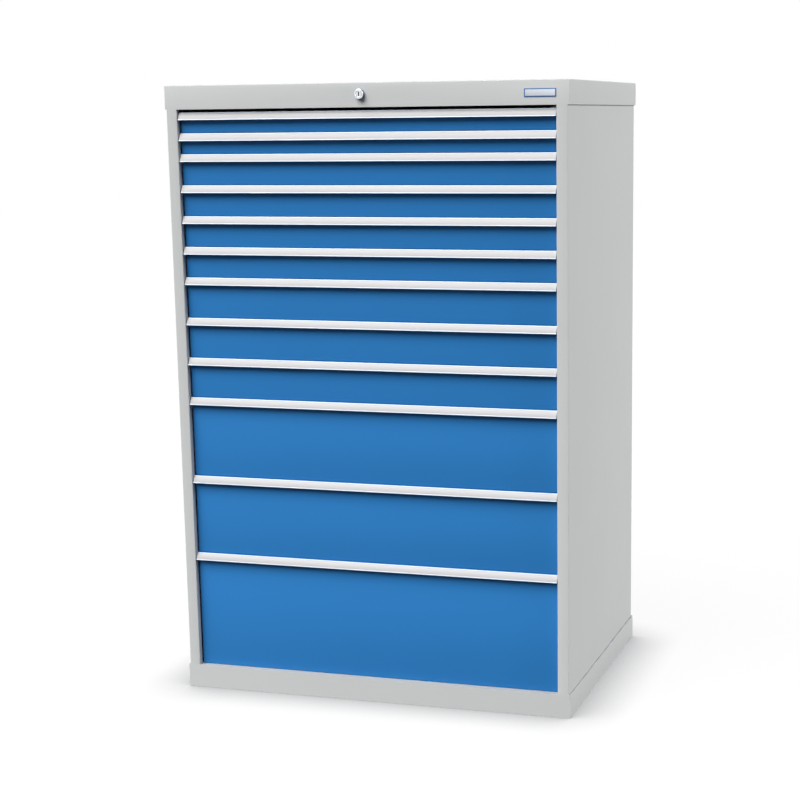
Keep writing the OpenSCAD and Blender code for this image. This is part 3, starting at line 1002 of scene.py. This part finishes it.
# %% The plate
PLATE_W, PLATE_H, PLATE_T, PLATE_DROP = 76 * MM, 19.6 * MM, 0.9 * MM, 19.6 * MM
BORDER, PLATE_CORNER, PLATE_EDGE = 2.6 * MM, 1.2 * MM, 0.25 * MM
plate_high = Vector((
    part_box("right_side")[0].x, cover_front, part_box("top_cover")[1].z - PLATE_DROP
))
plate_low = plate_high - Vector((PLATE_W, PLATE_T, PLATE_H))
plate = add_block("name_plate", plate_low, plate_high)
round_off(plate, PLATE_CORNER, 3, lambda middle, way: abs(way.y) > ALONG)
round_off(plate, PLATE_EDGE, 2, lambda middle, way: near(middle.y, plate_low.y))
centre, half = (plate_low + plate_high) / 2, (plate_high - plate_low) / 2


def printed_plate():
    print_ink = Finish(bpy.data.materials.new("plate_print"))
    here = print_ink.node("TexCoord", output="Object")
    x = print_ink.node("SeparateXYZ", {}, {"Vector": here}, output="X")
    z = print_ink.node("SeparateXYZ", {}, {"Vector": here}, output="Z")
    bare = (abs(x - centre.x) < half.x - BORDER) * (abs(z - centre.z) < half.z - BORDER)
    brushing = print_ink.noise(print_ink.place(30, 1, 2500), 1.0, 2.0)
    ink = print_ink.blend(brushing, linear(44, 92, 146), linear(58, 106, 160))
    metal = print_ink.blend(brushing, linear(198, 206, 216), linear(214, 220, 228))
    print_ink.surface(
        Base_Color=print_ink.blend(bare, ink, metal),
        Roughness=0.42 + 0.1 * brushing,
        Normal=print_ink.relief(brushing, 0.02 * MM, 0.2),
    )
    return print_ink.owner


dress(plate, printed_plate(), "front_blue", "housing")
print("plate:", [round(side / MM, 1) for side in plate_high - plate_low], "mm")

# %% [markdown]
# ## Pieces that the frame already gives
# Uprights, fixed rails, runners and the linkage of the lock are plain folded or stamped steel, and
# their CAD solids have the right shape. They stay, and only get the zinc finish.

# %% Zinc on the CAD pieces
zinc_nodes = ["uprights", "cabinet_rails", "lock_cam", "link_bar", "locking_bar"]
zinc_nodes += [f"{drawer}_runners" for drawer in DRAWERS]
for node in zinc_nodes:
    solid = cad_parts[node]
    solid.data.materials.clear()
    solid.data.materials.append(zinc_steel)
print("zinc on", len(zinc_nodes), "nodes")

# %% [markdown]
# ## Floor, background and light
# The photograph has a white ground with a faint shadow at the foot of the plinth. To the camera,
# and to shiny metal, the floor glows white, less so in the narrow corner where it meets the plinth,
# and a share of it is lit by the lamps, so it keeps the shadow. Three suns with wide discs stand
# for the large soft boxes of a studio, because they light the whole height evenly. The first one is
# in front, to the left and above: it makes the shadows under the handles and beside the left
# column. The second one lights the right side, and the third one the back. The world fills in a
# little.

# %% Floor and world
def seen(bench):
    """1 for rays from the camera, or by way of metal and glass."""
    names = ("Is Camera Ray", "Is Glossy Ray", "Is Transmission Ray")
    camera_ray, glossy_ray, clear_ray = (bench.node("LightPath", output=name) for name in names)
    either = {0: camera_ray + glossy_ray, 1: clear_ray}
    return bench.node("Math", {"operation": "ADD", "use_clamp": True}, either)


FLOOR_GLOW, FLOOR_LIT, FLOOR_BOUNCE = 0.93, 0.05, 0.06
CORNER, CORNER_SHADE, WHITE = 150 * MM, (0.03, 0.04, 0.06, 1), (1, 1, 1, 1)
FLOOR_SIZE, FLOOR_GAP = 40, 0.3 * MM
clear_selection()
bpy.ops.mesh.primitive_plane_add(size=FLOOR_SIZE, location=(0, 0, -FLOOR_GAP))
floor = settle("floor")
ground = Finish(bpy.data.materials.new("studio_floor"))
nearby = ground.node(
    "AmbientOcclusion", {"samples": 8}, {"Distance": CORNER, "Color": WHITE}, output="AO"
)
tint = ground.blend(nearby, CORNER_SHADE, WHITE)
glow = ground.node("Emission", {}, {"Color": tint, "Strength": FLOOR_GLOW})
lit = ground.node("BsdfDiffuse", {}, {"Color": (FLOOR_LIT, FLOOR_LIT, FLOOR_LIT, 1)})
shown = ground.node("AddShader", {}, {0: glow, 1: lit})
dim = ground.node("BsdfDiffuse", {}, {"Color": (FLOOR_BOUNCE, FLOOR_BOUNCE, FLOOR_BOUNCE, 1)})
both = ground.node("MixShader", {}, {0: seen(ground), 1: dim, 2: shown})
ground.join(ground.nodes["Material Output"].inputs["Surface"], both)
floor.data.materials.append(ground.owner)

studio = bpy.data.worlds.new("studio")
bpy.context.scene.world = studio
sky = Finish(studio)
AMBIENT = 0.03
sky.join(sky.nodes["Background"].inputs["Color"], WHITE)
sky.join(sky.nodes["Background"].inputs["Strength"], AMBIENT + (1 - AMBIENT) * seen(sky))
print("floor and world ready")

# %% The lamps
def soft_sun(name, towards, disc, strength):
    """A sun with a wide disc, seen from the cabinet in the direction towards."""
    lamp = bpy.data.lights.new(name, "SUN")
    lamp.energy, lamp.angle = strength, math.radians(disc)
    holder = bpy.data.objects.new(name, lamp)
    bpy.context.scene.collection.objects.link(holder)
    holder.rotation_euler = Vector(towards).to_track_quat("Z", "Y").to_euler()
    print("lamp:", name, strength)


soft_sun("key_lamp", (-0.65, -1.0, 1.5), 54, 5.34)
soft_sun("side_lamp", (1.0, 0.15, 0.5), 40, 2.72)
soft_sun("back_lamp", (-0.5, 1.0, 0.05), 30, 1.7)

bpy.context.scene.view_settings.view_transform = "Standard"
